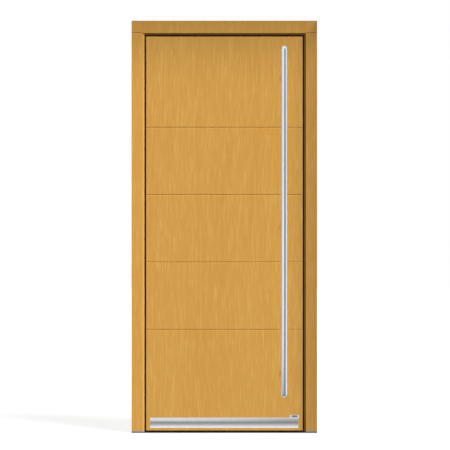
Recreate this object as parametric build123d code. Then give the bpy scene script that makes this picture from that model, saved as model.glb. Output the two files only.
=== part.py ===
from build123d import *
import math
import os

# A modern entrance door in its frame, opening inwards. The frame is two jambs under a header that
# runs through, standing on grey feet and a flat threshold. The leaf is flush with the frame on both
# sides: a grooved outer panel, a timber core with an insulating filling, and an inner panel. It
# carries a long vertical pull bar and a crowned kickplate outside, and a lever and a thumbturn
# inside. A three-point lock sits in the lock stile, an electric strike in the lock jamb.
#
# Axes: X runs from the hinge side to the lock side, Y from outside to the room, Z up. The origin
# is the middle of the threshold's underside. All sizes are in millimetres.

# Frame: outside size, section of the jambs and header
frame_width = 990.0
frame_height = 2200.0
frame_depth = 88.0
jamb_width = 69.0
header_height = 76.0
arris_chamfer = 10.0
joint_bevel = 3.0
stop_step = 14.0
outer_stop_depth = 22.0
inner_stop_depth = 58.0

# Foot of the frame
threshold_thickness = 5.0
threshold_nose = 2.0
foot_height = 6.0

# Gaps between leaf and frame
side_gap = 8.0
top_gap = 9.0
rebate_gap = 5.0
stop_gap = 5.0
bottom_gap = 7.0

# Clearances between pieces
fit_clearance = 0.1
running_clearance = 0.05
slide_clearance = 0.3
cut_overrun = 1.0

# Leaf panels and core
panel_round = 2.5
groove_count = 4
bottom_field_height = 539.5
top_field_height = 485.0
groove_width = 6.0
groove_depth = 3.0
lock_stile_width = 140.0
hinge_stile_width = 100.0
top_rail_height = 120.0
bottom_rail_height = 160.0

# Pull bar
bar_diameter = 35.0
bar_wall = 2.0
bar_edge_distance = 100.0
bar_bottom_distance = 181.0
bar_top_distance = 52.0
bar_hand_room = 50.0
post_diameter = 22.0
post_end_distance = 150.0
post_count = 3
bar_bolt_diameter = 8.0
bar_bolt_grip = 22.0
bar_bolt_tip_room = 2.0
bar_bolt_cap_diameter = 24.0
bar_bolt_cap_height = 4.0
bar_bolt_cap_chamfer = 1.0

# Kickplate
kickplate_side_inset = 23.0
kickplate_base_height = 15.0
kickplate_height = 55.0
kickplate_edge = 3.0
kickplate_crown = 9.0
kickplate_sheet = 1.5

# Stop gaskets and the seal under the leaf
gasket_inset = 4.5
gasket_width = 8.0
gasket_wall = 1.1
gasket_foot_width = 3.2
gasket_foot_depth = 4.6
gasket_groove_width = 3.6
gasket_groove_depth = 5.0
seal_carrier_width = 12.0
seal_carrier_height = 12.0
seal_carrier_wall = 1.2
seal_strip_height = 6.0
seal_lip_thickness = 1.6
seal_lip_spread = 5.0

# Barrel hinges on the room side
hinge_count = 3
lowest_hinge = 240.0
top_hinge_distance = 227.0
hinge_height = 120.0
hinge_barrel_diameter = 18.0
hinge_pin_diameter = 8.0
hinge_pin_head = 3.0
hinge_pin_chamfer = 1.0
hinge_face_gap = 1.0
hinge_leaf_knuckle = 43.0
hinge_knuckle_gap = 0.5
hinge_plate_thickness = 4.0
hinge_frame_plate_width = 30.0
hinge_leaf_plate_width = 41.0
hinge_plate_relief = 1.0

# Screws
hinge_screw_length = 40.0
plate_screw_length = 30.0
header_screw_length = 150.0
foot_screw_length = 60.0
screw_shank_radius = 2.2
screw_head_radius = 4.4
hinge_screw_end_distance = 14.0
hinge_screw_rows = 2
hinge_screw_stagger = 8.0

# Wall fixing holes in the jambs
fixing_hole_radius = 5.25
fixing_counterbore_radius = 7.5
fixing_counterbore_depth = 8.0
bottom_fixing_height = 140.0
top_fixing_distance = 200.0
fixing_below_lever = 250.0
fixing_above_lever = 350.0

# Lock: faceplate, case and heights
lever_height = 1050.0
thumbturn_below_lever = 92.0
backset = 55.0
faceplate_width = 24.0
faceplate_thickness = 3.0
faceplate_end_margin = 60.0
case_depth = 85.0
case_thickness = 16.0
case_wall = 1.5
case_below_lever = 170.0
case_above_lever = 80.0

# Bolts and their drive
bolt_thickness = 9.5
deadbolt_height = 30.0
deadbolt_length = 50.0
deadbolt_above_thumbturn = 42.0
auxiliary_bolt_height = 24.0
auxiliary_bolt_length = 47.0
lower_bolt_below_lever = 720.0
upper_bolt_above_lever = 650.0
bolt_chamfer = 1.0
auxiliary_case_depth = 52.0
auxiliary_case_height = 66.0
drive_thickness = 2.5
drive_rod_width = 9.0
drive_edge_gap = 4.0
drive_pin_diameter = 5.0
drive_pin_setback = 37.0
drive_margin = 4.0
drive_end_margin = 10.0
gear_module = 1.5
pinion_teeth = 17
gear_backlash = 0.12
pinion_thickness = 2.5
rack_margin = 9.0
pressure_angle = math.radians(20.0)
thumbturn_travel = math.radians(90.0)

# Latch and lever
latch_above_lever = 35.0
latch_height = 28.0
latch_throw = 12.0
latch_head_length = 42.0
latch_tail_height = 8.0
latch_tail_thickness = 4.4
latch_tail_gap = 1.0
latch_catch_width = 8.0
latch_bevel_depth = 6.5
follower_hub_radius = 10.5
follower_trunnion_radius = 8.0
follower_arm_radius = 17.54
follower_arm_tip = 3.0
lever_travel = math.radians(40.0)
spindle_square = 8.0
spring_strip = 0.8
spring_width = 4.0
spring_reach = 38.0
spring_abutment = 5.0
spring_abutment_height = 14.0
spring_end_margin = 1.0

# Furniture on the room side
rose_diameter = 52.0
rose_height = 8.0
rose_round = 2.0
lever_neck_diameter = 20.0
lever_neck_seat = 2.0
lever_grip_clear = 38.0
lever_grip_thickness = 12.0
lever_grip_height = 22.0
lever_grip_length = 132.0
lever_grip_round = 5.0
lever_grip_end_round = 1.0
spindle_in_lever = 30.0
thumbturn_shaft_diameter = 8.0
thumbturn_shaft_grip = 12.0
thumbturn_width = 14.0
thumbturn_length = 40.0
thumbturn_height = 24.0
thumbturn_round = 3.0

# Strikes in the lock jamb
strike_thickness = 3.0
strike_end_margin = 45.0
strike_screw_margin = 15.0
main_strike_tail = 115.0
main_strike_top_margin = 10.0
bolt_hole_clearance = 1.0
electric_strike_height = 80.0
electric_strike_depth = 37.0
electric_strike_outer_reach = 10.0
electric_strike_inner_reach = 24.0
keeper_pivot_setback = 16.0
keeper_pivot_offset = -2.0
keeper_hub_radius = 5.0
keeper_pin_radius = 2.5
keeper_pin_seat = 8.0
keeper_nose_thickness = 6.0
keeper_web_gap = 2.5
keeper_latch_gap = 0.5
keeper_height = 32.0
keeper_opening = math.radians(45.0)
keeper_room = 1.0

# Planes and edges that follow from the sizes above
half_width = frame_width / 2
front = -frame_depth / 2
back = frame_depth / 2
outer_stop = front + outer_stop_depth
inner_stop = front + inner_stop_depth
foot_top = threshold_thickness + foot_height

opening_outer = half_width - jamb_width
opening_middle = opening_outer + stop_step
opening_inner = opening_middle + stop_step
head_outer = frame_height - header_height
head_middle = head_outer + stop_step
head_inner = head_middle + stop_step
joint_height = head_outer + arris_chamfer

leaf_bottom = threshold_thickness + bottom_gap
leaf_outer_half = opening_outer - side_gap
leaf_middle_half = opening_middle - rebate_gap
leaf_inner_half = opening_inner - rebate_gap
leaf_outer_top = head_outer - top_gap
leaf_middle_top = head_middle - rebate_gap
leaf_inner_top = head_inner - rebate_gap
core_front = outer_stop + stop_gap
core_back = inner_stop + stop_gap

outer_gasket_line = leaf_middle_half - gasket_inset
outer_gasket_top = leaf_middle_top - gasket_inset
inner_gasket_line = leaf_inner_half - gasket_inset
inner_gasket_top = leaf_inner_top - gasket_inset

bar_x = leaf_outer_half - bar_edge_distance
bar_y = front - bar_hand_room - bar_diameter / 2
bar_bottom = leaf_bottom + bar_bottom_distance
bar_top = leaf_outer_top - bar_top_distance
bar_length = bar_top - bar_bottom
post_pitch = (bar_length - 2 * post_end_distance) / (post_count - 1)
post_levels = [bar_bottom + post_end_distance + post_pitch * i for i in range(post_count)]

height_names = ("bottom", "middle", "top")
hinge_span = leaf_inner_top - top_hinge_distance - lowest_hinge
hinge_pitch = hinge_span / (hinge_count - 1)
hinge_levels = [lowest_hinge + hinge_pitch * i for i in range(hinge_count)]
hinge_x = -(leaf_inner_half + rebate_gap / 2)
hinge_y = back + hinge_face_gap + hinge_barrel_diameter / 2
fixing_levels = [
    bottom_fixing_height,
    lever_height - fixing_below_lever,
    lever_height + fixing_above_lever,
    frame_height - top_fixing_distance,
]

lock_y = (core_front + core_back) / 2
case_low_y = lock_y - case_thickness / 2
case_high_y = lock_y + case_thickness / 2
faceplate_back = leaf_middle_half - faceplate_thickness
drive_low_y = case_low_y + case_wall + slide_clearance / 2
drive_high_y = drive_low_y + drive_thickness
bolt_low_y = drive_high_y + slide_clearance
bolt_high_y = bolt_low_y + bolt_thickness
lock_axis_x = leaf_middle_half - backset
thumbturn_height_z = lever_height - thumbturn_below_lever
deadbolt_level = thumbturn_height_z + deadbolt_above_thumbturn
latch_level = lever_height + latch_above_lever
lower_bolt_level = lever_height - lower_bolt_below_lever
upper_bolt_level = lever_height + upper_bolt_above_lever
auxiliary_bolt_levels = (lower_bolt_level, upper_bolt_level)
case_bottom = lever_height - case_below_lever
case_top = lever_height + case_above_lever
faceplate_bottom = lower_bolt_level - faceplate_end_margin
faceplate_top = upper_bolt_level + faceplate_end_margin
main_strike_bottom = deadbolt_level - deadbolt_height / 2 - main_strike_tail
electric_strike_bottom = latch_level - electric_strike_height / 2
electric_strike_top = latch_level + electric_strike_height / 2
main_strike_top = electric_strike_top + main_strike_top_margin
pitch_radius = gear_module * pinion_teeth / 2
tooth_root_depth = 1.25 * gear_module
bolt_throw = pitch_radius * thumbturn_travel
rack_line = lock_axis_x + pitch_radius
drive_edge = faceplate_back - drive_edge_gap
drive_pin_x = leaf_middle_half - drive_pin_setback

keeper_x = opening_middle + keeper_pivot_setback
keeper_y = lock_y + keeper_pivot_offset


def block(x, y, z):
    """A box given by its low and high limits along each axis."""
    centre = [(low + high) / 2 for low, high in (x, y, z)]
    size = [high - low for low, high in (x, y, z)]
    return Pos(*centre) * Box(*size)


def both_sides(limit):
    """Low and high limits that lie equally far on both sides of the middle."""
    return (-limit, limit)


def about(centre, size):
    """Low and high limits of a stretch of that size, centred there."""
    return (centre - size / 2, centre + size / 2)


def outline(points):
    return make_face(Polyline(*points, close=True))


def prism_along_x(face, low, high):
    return extrude(Plane.YZ.offset(low) * face, high - low)


def prism_along_y(face, low, high):
    return extrude(Plane.XZ.offset(-high) * face, high - low)


def prism_along_z(face, low, high):
    return extrude(Plane.XY.offset(low) * face, high - low)


def screw(length, clearance=0.0):
    """A countersunk screw with a blunt end, its head's flat at the origin and its shank down -Z."""
    head = screw_head_radius + clearance
    shank = screw_shank_radius + clearance
    end = -length - clearance
    section = outline([(0, 0), (head, 0), (shank, shank - head), (shank, end), (0, end)])
    return revolve(Plane.XZ * section, Axis.Z)


def seated(shape, point, facing):
    """The shape with its own Z turned to the direction it faces, and its origin at the point."""
    return Plane(origin=point, z_dir=facing) * shape


def screws(seats, facing, length):
    return [seated(screw(length), seat, facing) for seat in seats]


def screw_holes(seats, facing, length):
    return [seated(screw(length, fit_clearance), seat, facing) for seat in seats]


def without(shape, tools):
    """The shape with every tool cut away."""
    for tool in tools:
        shape -= tool
    return shape


def mirrored(shape):
    return mirror(shape, about=Plane.YZ)


# Frame section, shared by the jambs and their feet
def jamb_section():
    return outline(
        [
            (half_width, front),
            (opening_outer + arris_chamfer, front),
            (opening_outer, front + arris_chamfer),
            (opening_outer, outer_stop),
            (opening_middle, outer_stop),
            (opening_middle, inner_stop),
            (opening_inner, inner_stop),
            (opening_inner, back),
            (half_width, back),
        ]
    )


def foot_screw_seats():
    x = (opening_inner + half_width) / 2
    return [(x, outer_stop, 0), (x, inner_stop, 0)]


def header_screw_seats():
    x = (opening_inner + half_width) / 2
    return [(x, outer_stop, frame_height), (x, inner_stop, frame_height)]


def joint_grooves():
    """The V-shaped shadow joint between header and lock-side jamb, on the outer and room faces."""
    grooves = []
    for face, bottom, start in (
        (front, front + joint_bevel, opening_outer + arris_chamfer),
        (back, back - joint_bevel, opening_inner),
    ):
        section = outline(
            [
                (face, joint_height - joint_bevel),
                (bottom, joint_height),
                (face, joint_height + joint_bevel),
            ]
        )
        grooves.append(prism_along_x(section, start, half_width))
    return grooves


def plain_jamb():
    """The lock-side jamb before its hardware: joint, mitred arris, gasket groove and fixings."""
    jamb = prism_along_z(jamb_section(), foot_top, joint_height)
    jamb = without(jamb, joint_grooves())
    mitre = outline(
        [
            (opening_outer - cut_overrun, head_outer - cut_overrun),
            (opening_outer + arris_chamfer + cut_overrun, joint_height + cut_overrun),
            (opening_outer - cut_overrun, joint_height + cut_overrun),
        ]
    )
    jamb -= prism_along_y(mitre, front, outer_stop)
    jamb -= block(
        about(outer_gasket_line, gasket_groove_width),
        (outer_stop - gasket_groove_depth, outer_stop),
        (foot_top, joint_height),
    )
    face_middle = (outer_stop + inner_stop) / 2
    for level in fixing_levels:
        hole = Plane.YZ.offset(opening_middle) * Pos(face_middle, level)
        jamb -= extrude(hole * Circle(fixing_hole_radius), half_width - opening_middle)
        jamb -= extrude(hole * Circle(fixing_counterbore_radius), fixing_counterbore_depth)
    jamb = without(jamb, screw_holes(foot_screw_seats(), (0, 0, -1), foot_screw_length))
    return without(jamb, screw_holes(header_screw_seats(), (0, 0, 1), header_screw_length))


def frame_header():
    """The header runs through over both jambs; its lower lip closes the opening between them."""
    header = block(both_sides(half_width), (front, back), (joint_height, frame_height))
    lip = outline(
        [
            (-opening_outer - arris_chamfer, joint_height),
            (opening_outer + arris_chamfer, joint_height),
            (opening_outer, head_outer),
            (-opening_outer, head_outer),
        ]
    )
    header += prism_along_y(lip, front, outer_stop)
    arris = outline(
        [
            (front - cut_overrun, joint_height + cut_overrun),
            (front + arris_chamfer + cut_overrun, head_outer - cut_overrun),
            (front - cut_overrun, head_outer - cut_overrun),
        ]
    )
    header -= prism_along_x(arris, -half_width, half_width)
    header -= block(
        both_sides(opening_middle), (outer_stop, inner_stop), (head_outer, head_middle)
    )
    header -= block(both_sides(opening_inner), (inner_stop, back), (head_outer, head_inner))
    header -= block(
        both_sides(outer_gasket_line + gasket_groove_width / 2),
        (outer_stop - gasket_groove_depth, outer_stop),
        about(outer_gasket_top, gasket_groove_width),
    )
    cuts = screw_holes(header_screw_seats(), (0, 0, 1), header_screw_length) + joint_grooves()
    header = without(header, cuts)
    return without(header, [mirrored(cut) for cut in cuts])


def jamb_foot():
    foot = prism_along_z(jamb_section(), threshold_thickness, foot_top)
    return without(foot, screw_holes(foot_screw_seats(), (0, 0, -1), foot_screw_length))


def threshold():
    """A flat plate under the whole frame, its long edges bevelled where the leaf passes."""
    plate = block(both_sides(half_width), (front, back), (0, threshold_thickness))
    for y in (front, back):
        bevel = Pos(y, threshold_thickness) * Rot(0, 0, 45)
        side = threshold_nose * math.sqrt(2)
        plate -= prism_along_x(bevel * Rectangle(side, side), -opening_outer, opening_outer)
    holes = screw_holes(foot_screw_seats(), (0, 0, -1), foot_screw_length)
    plate = without(plate, holes)
    return without(plate, [mirrored(hole) for hole in holes])


# Gaskets: a hollow bulb on a foot pressed into a groove, bent round three sides of the opening
def gasket(line, top, bottom, seat, reach):
    """reach is the bulb's height, positive towards the room; the foot points the other way."""
    way = math.copysign(1, reach)
    bulb = make_face(
        [
            Line((-gasket_width / 2, 0), (gasket_width / 2, 0)),
            ThreePointArc((gasket_width / 2, 0), (0, reach), (-gasket_width / 2, 0)),
        ]
    )
    inner_half = gasket_width / 2 - 2 * gasket_wall
    base = way * gasket_wall
    hollow = make_face(
        [
            Line((-inner_half, base), (inner_half, base)),
            ThreePointArc((inner_half, base), (0, reach - base), (-inner_half, base)),
        ]
    )
    foot = Pos(0, -way * gasket_foot_depth / 2) * Rectangle(gasket_foot_width, gasket_foot_depth)
    section = Plane(origin=(-line, seat, bottom)) * (bulb - hollow + foot)
    path = Polyline(
        (-line, seat, bottom), (-line, seat, top), (line, seat, top), (line, seat, bottom)
    )
    return sweep(section, path, transition=Transition.RIGHT)


def outer_gasket():
    reach = stop_gap - slide_clearance
    return gasket(outer_gasket_line, outer_gasket_top, foot_top, outer_stop, reach)


def inner_gasket():
    reach = slide_clearance - stop_gap
    return gasket(inner_gasket_line, inner_gasket_top, leaf_bottom, core_back, reach)


# Hinges: two knuckles on the frame plate, one on the leaf plate, and a headed pin
def hinge_screw_seats(inner_edge, width, level):
    """Two staggered rows of seats on a plate that starts at inner_edge and is that wide."""
    centre = inner_edge + width / 2
    span = hinge_height / 2 - hinge_screw_end_distance
    face = back + hinge_plate_thickness
    seats = []
    for side in (-1, 1):
        for row in range(hinge_screw_rows):
            x = centre + hinge_screw_stagger * (1 if row else -1)
            z = level + side * (span - 2 * hinge_screw_stagger * row)
            seats.append((x, face, z))
    return seats


def frame_plate_edge():
    return hinge_x - hinge_barrel_diameter / 2 - hinge_plate_relief


def frame_hinge_seats(level):
    outer_edge = frame_plate_edge() - hinge_frame_plate_width
    return hinge_screw_seats(outer_edge, hinge_frame_plate_width, level)


def leaf_hinge_seats(level):
    inner_edge = hinge_x + hinge_barrel_diameter / 2 + hinge_plate_relief
    return hinge_screw_seats(inner_edge, hinge_leaf_plate_width, level)


def hinge_barrel(low, high, bore):
    """A stretch of the barrel round the hinge's axis."""
    ring = Circle(hinge_barrel_diameter / 2) - Circle(bore)
    return prism_along_z(Pos(hinge_x, hinge_y) * ring, low, high)


def frame_hinge(level):
    """Plate on the frame with the outer two knuckles."""
    half = hinge_height / 2
    leaf_half = hinge_leaf_knuckle / 2
    plate_y = (back, back + hinge_plate_thickness)
    edge = frame_plate_edge()
    plate = block((edge - hinge_frame_plate_width, edge), plate_y, (level - half, level + half))
    bore = hinge_pin_diameter / 2 + running_clearance / 2
    for low, high in (
        (level - half, level - leaf_half - hinge_knuckle_gap),
        (level + leaf_half + hinge_knuckle_gap, level + half),
    ):
        plate += block((edge, hinge_x), plate_y, (low, high)) + hinge_barrel(low, high, bore)
        plate -= prism_along_z(Pos(hinge_x, hinge_y) * Circle(bore), low, high)
    return without(plate, screw_holes(frame_hinge_seats(level), (0, 1, 0), hinge_screw_length))


def leaf_hinge(level):
    """Plate on the leaf with the middle knuckle."""
    half = hinge_height / 2
    leaf_half = hinge_leaf_knuckle / 2
    plate_y = (back, back + hinge_plate_thickness)
    edge = hinge_x + hinge_barrel_diameter / 2 + hinge_plate_relief
    plate = block((edge, edge + hinge_leaf_plate_width), plate_y, (level - half, level + half))
    bore = hinge_pin_diameter / 2 + running_clearance
    low, high = level - leaf_half, level + leaf_half
    plate += block((hinge_x, edge), plate_y, (low, high)) + hinge_barrel(low, high, bore)
    plate -= prism_along_z(Pos(hinge_x, hinge_y) * Circle(bore), low, high)
    return without(plate, screw_holes(leaf_hinge_seats(level), (0, 1, 0), hinge_screw_length))


def hinge_pin(level):
    """Headed at both ends, and held by the frame's knuckles."""
    low, high = level - hinge_height / 2, level + hinge_height / 2
    centre = Pos(hinge_x, hinge_y)
    pin = prism_along_z(centre * Circle(hinge_pin_diameter / 2), low, high)
    for start in (low - hinge_pin_head, high):
        head = prism_along_z(centre * Circle(hinge_barrel_diameter / 2), start, start + hinge_pin_head)
        outer = Axis.Z if start == high else -Axis.Z
        pin += chamfer(head.faces().sort_by(outer)[-1].edges(), hinge_pin_chamfer)
    return pin


# Leaf: outer and inner panels, stiles, rails and filling
def pull_bar_holes():
    """Clear holes for the three bolts of the pull bar, through the whole leaf."""
    radius = bar_bolt_diameter / 2 + fit_clearance
    return [
        prism_along_y(Pos(bar_x, level) * Circle(radius), front, back) for level in post_levels
    ]


def furniture_holes():
    """Holes on the room side for the lever's neck and the thumbturn's shaft."""
    lever = Pos(lock_axis_x, lever_height) * Circle(lever_neck_diameter / 2)
    thumb = Pos(lock_axis_x, thumbturn_height_z) * Circle(thumbturn_shaft_diameter)
    return [prism_along_y(hole, case_high_y, back) for hole in (lever, thumb)]


def softened(panel, face_y):
    """Rounds the arrises of a panel's visible face."""
    return fillet(panel.edges().filter_by_position(Axis.Y, face_y, face_y), panel_round)


def outer_panel():
    """One veneered board with four V-grooves across it."""
    panel = block(both_sides(leaf_outer_half), (front, core_front), (leaf_bottom, leaf_outer_top))
    panel = softened(panel, front)
    span = leaf_outer_top - leaf_bottom - bottom_field_height - top_field_height
    for i in range(groove_count):
        level = leaf_bottom + bottom_field_height + span * i / (groove_count - 1)
        groove = outline(
            [
                (front, level - groove_width / 2),
                (front, level + groove_width / 2),
                (front + groove_depth, level),
            ]
        )
        panel -= prism_along_x(groove, -leaf_outer_half, leaf_outer_half)
    return without(panel, pull_bar_holes())


def inner_panel():
    panel = block(both_sides(leaf_inner_half), (core_back, back), (leaf_bottom, leaf_inner_top))
    panel = softened(panel, back)
    groove_y = (core_back, core_back + gasket_groove_depth)
    for side in (-1, 1):
        line = about(side * inner_gasket_line, gasket_groove_width)
        panel -= block(line, groove_y, (leaf_bottom, inner_gasket_top + gasket_groove_width / 2))
    panel -= block(
        both_sides(inner_gasket_line), groove_y, about(inner_gasket_top, gasket_groove_width)
    )
    for level in hinge_levels:
        seats = leaf_hinge_seats(level)
        panel = without(panel, screw_holes(seats, (0, 1, 0), hinge_screw_length))
    return without(panel, pull_bar_holes() + furniture_holes())


def hinge_stile():
    stile = block(
        (-leaf_middle_half, hinge_stile_width - leaf_middle_half),
        (core_front, core_back),
        (leaf_bottom, leaf_middle_top),
    )
    stile -= seal_groove()
    for level in hinge_levels:
        seats = leaf_hinge_seats(level)
        stile = without(stile, screw_holes(seats, (0, 1, 0), hinge_screw_length))
    return stile


def auxiliary_case_limits(level, clearance=0.0):
    return block(
        (faceplate_back - auxiliary_case_depth - clearance, faceplate_back),
        (case_low_y - clearance, case_high_y + clearance),
        about(level, auxiliary_case_height + 2 * clearance),
    )


def faceplate_blank(clearance=0.0):
    """The faceplate's outline, with round ends."""
    width = faceplate_width + 2 * clearance
    height = faceplate_top - faceplate_bottom + 2 * clearance
    middle = (faceplate_bottom + faceplate_top) / 2
    shape = Pos(lock_y, middle) * Rot(0, 0, 90) * SlotOverall(height, width)
    return prism_along_x(shape, faceplate_back, leaf_middle_half)


def lock_stile():
    """The stile that holds the lock: pockets for the cases and a channel for the drive."""
    stile = block(
        (leaf_middle_half - lock_stile_width, leaf_middle_half),
        (core_front, core_back),
        (leaf_bottom, leaf_middle_top),
    )
    width_y = (case_low_y - fit_clearance, case_high_y + fit_clearance)
    stile -= faceplate_blank(fit_clearance)
    stile -= block(
        (drive_edge - drive_rod_width - slide_clearance, faceplate_back), width_y, drive_limits()
    )
    stile -= block(
        (faceplate_back - case_depth - fit_clearance, faceplate_back),
        width_y,
        (case_bottom - fit_clearance, case_top + fit_clearance),
    )
    for level in auxiliary_bolt_levels:
        stile -= auxiliary_case_limits(level, fit_clearance)
    stile -= seal_groove()
    stile = without(stile, screw_holes(faceplate_screw_seats(), (1, 0, 0), plate_screw_length))
    return without(stile, pull_bar_holes() + furniture_holes())


def rail_x():
    return (hinge_stile_width - leaf_middle_half, leaf_middle_half - lock_stile_width)


def top_rail():
    return block(
        rail_x(), (core_front, core_back), (leaf_middle_top - top_rail_height, leaf_middle_top)
    )


def bottom_rail():
    rail = block(
        rail_x(), (core_front, core_back), (leaf_bottom, leaf_bottom + bottom_rail_height)
    )
    return rail - seal_groove()


def insulation_core():
    return block(
        rail_x(),
        (core_front, core_back),
        (leaf_bottom + bottom_rail_height, leaf_middle_top - top_rail_height),
    )


# Seal under the leaf: a carrier channel with a two-lipped strip hanging from it
def seal_groove():
    return block(
        both_sides(leaf_middle_half),
        about(lock_y, seal_carrier_width + 2 * fit_clearance),
        (leaf_bottom, leaf_bottom + seal_carrier_height + fit_clearance),
    )


def seal_carrier():
    z = (leaf_bottom, leaf_bottom + seal_carrier_height)
    channel = block(both_sides(leaf_middle_half), about(lock_y, seal_carrier_width), z)
    inner_width = seal_carrier_width - 2 * seal_carrier_wall
    inner_z = (leaf_bottom, leaf_bottom + seal_carrier_height - seal_carrier_wall)
    channel -= block(both_sides(leaf_middle_half), about(lock_y, inner_width), inner_z)
    return channel


def seal_lip():
    width = seal_carrier_width - 2 * seal_carrier_wall - 2 * fit_clearance
    root = leaf_bottom + seal_strip_height
    tip = threshold_thickness + slide_clearance
    strip = block(both_sides(leaf_middle_half), about(lock_y, width), (leaf_bottom, root))
    for side in (-1, 1):
        heel = lock_y + side * (width / 2 - seal_lip_thickness)
        toe = lock_y + side * (width / 2 + seal_lip_spread - seal_lip_thickness)
        lip = outline(
            [
                (heel, leaf_bottom),
                (heel + side * seal_lip_thickness, leaf_bottom),
                (toe + side * seal_lip_thickness, tip),
                (toe, tip),
            ]
        )
        strip += prism_along_x(lip, -leaf_middle_half, leaf_middle_half)
    return strip


# Pull bar: a tube with domed ends on three posts, bolted through the leaf
def capsule(radius, low, high):
    """A round bar along the pull bar's axis, with half-sphere ends."""
    section = make_face(
        [
            Line((0, low), (0, high)),
            RadiusArc((0, high), (radius, high - radius), radius),
            Line((radius, high - radius), (radius, low + radius)),
            RadiusArc((radius, low + radius), (0, low), radius),
        ]
    )
    return Pos(bar_x, bar_y, 0) * revolve(Plane.XZ * section, Axis.Z)


def pull_bar():
    radius = bar_diameter / 2
    tube = capsule(radius, bar_bottom, bar_top)
    return tube - capsule(radius - bar_wall, bar_bottom + bar_wall, bar_top - bar_wall)


def pull_bar_post(level):
    """A round post, saddled to the tube and threaded blind for its bolt."""
    post = prism_along_y(Pos(bar_x, level) * Circle(post_diameter / 2), bar_y, front)
    post -= prism_along_z(Pos(bar_x, bar_y) * Circle(bar_diameter / 2), *about(level, bar_diameter))
    hole = Pos(bar_x, level) * Circle(bar_bolt_diameter / 2 + fit_clearance)
    return post - prism_along_y(hole, front - bar_bolt_grip - bar_bolt_tip_room, front)


def pull_bar_bolts():
    bolts = []
    for level in post_levels:
        centre = Pos(bar_x, level)
        shank = centre * Circle(bar_bolt_diameter / 2)
        cap = centre * Circle(bar_bolt_cap_diameter / 2)
        bolt = prism_along_y(cap, back, back + bar_bolt_cap_height)
        bolt = chamfer(bolt.faces().sort_by(Axis.Y)[-1].edges(), bar_bolt_cap_chamfer)
        bolts.append(bolt + prism_along_y(shank, front - bar_bolt_grip, back))
    return bolts


def kickplate():
    """A crowned sheet with closed ends, its edges turned back to the leaf."""
    low = leaf_bottom + kickplate_base_height
    high = low + kickplate_height
    half = leaf_outer_half - kickplate_side_inset

    def crowned(inset, edge, crown):
        bottom, top, middle = low + inset, high - inset, (low + high) / 2
        return make_face(
            [
                Line((front, bottom), (front - edge, bottom)),
                ThreePointArc((front - edge, bottom), (front - crown, middle), (front - edge, top)),
                Line((front - edge, top), (front, top)),
                Line((front, top), (front, bottom)),
            ]
        )

    plate = prism_along_x(crowned(0, kickplate_edge, kickplate_crown), -half, half)
    inner = crowned(
        kickplate_sheet, kickplate_edge - kickplate_sheet, kickplate_crown - kickplate_sheet
    )
    return plate - prism_along_x(inner, kickplate_sheet - half, half - kickplate_sheet)


# Lock: faceplate, case, drive, bolts
def faceplate_screw_seats():
    low_case, high_case = auxiliary_bolt_levels
    margin = auxiliary_case_height / 2 + screw_head_radius
    levels = [
        low_case - margin,
        low_case + margin,
        case_bottom - 2 * screw_head_radius,
        case_top + 2 * screw_head_radius,
        high_case - margin,
        high_case + margin,
    ]
    return [(leaf_middle_half, lock_y, level) for level in levels]


def bolt_opening(level, height, clearance):
    """The space that a bolt's head passes through, from the drive plate's edge outwards."""
    return block(
        (faceplate_back - 2 * case_wall, leaf_middle_half),
        (bolt_low_y - clearance, bolt_high_y + clearance),
        about(level, height + 2 * clearance),
    )


def bolt_openings():
    openings = [
        bolt_opening(deadbolt_level, deadbolt_height, slide_clearance / 2),
        bolt_opening(latch_level, latch_height, slide_clearance / 2),
    ]
    for level in auxiliary_bolt_levels:
        openings.append(bolt_opening(level, auxiliary_bolt_height, slide_clearance / 2))
    return openings


def lock_faceplate():
    plate = without(faceplate_blank(), bolt_openings())
    return without(plate, screw_holes(faceplate_screw_seats(), (1, 0, 0), plate_screw_length))


def drive_limits():
    """Lowest and highest point of the drive over its whole travel."""
    low_bolt, high_bolt = auxiliary_bolt_levels
    reach = bolt_throw + drive_pin_diameter + drive_end_margin
    return (low_bolt - reach, high_bolt + reach)


def drive_rod_passage(low, high):
    return block(
        (drive_edge - drive_rod_width - slide_clearance, drive_edge + slide_clearance),
        (drive_low_y - slide_clearance / 2, drive_high_y + slide_clearance / 2),
        (low, high),
    )


def case_bores(low, high):
    """Bearing holes for the follower's trunnions and the pinion's shaft."""
    follower = Pos(lock_axis_x, lever_height) * Circle(follower_trunnion_radius + running_clearance)
    pinion = Circle(thumbturn_shaft_diameter / 2 + running_clearance)
    pinion = Pos(lock_axis_x, thumbturn_height_z) * pinion
    return [prism_along_y(hole, low, high) for hole in (follower, pinion)]


def lock_case():
    """Open tray of the lock case, with the spring's abutment inside."""
    low_x = faceplate_back - case_depth
    tray = block(
        (low_x, faceplate_back), (case_low_y, case_high_y - case_wall), (case_bottom, case_top)
    )
    tray -= block(
        (low_x + case_wall, faceplate_back - case_wall),
        (case_low_y + case_wall, case_high_y - case_wall),
        (case_bottom + case_wall, case_top - case_wall),
    )
    tray = without(tray, bolt_openings() + case_bores(case_low_y, case_low_y + case_wall))
    tray -= drive_rod_passage(case_bottom, case_bottom + case_wall)
    tray -= drive_rod_passage(case_top - case_wall, case_top)
    tray += block(
        (spring_start() - spring_abutment, spring_start()),
        (case_low_y + case_wall, case_high_y - case_wall),
        about(spring_level(), spring_abutment_height),
    )
    return tray


def lock_case_cover():
    cover = block(
        (faceplate_back - case_depth, faceplate_back),
        (case_high_y - case_wall, case_high_y),
        (case_bottom, case_top),
    )
    return without(cover, case_bores(case_high_y - case_wall, case_high_y))


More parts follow.
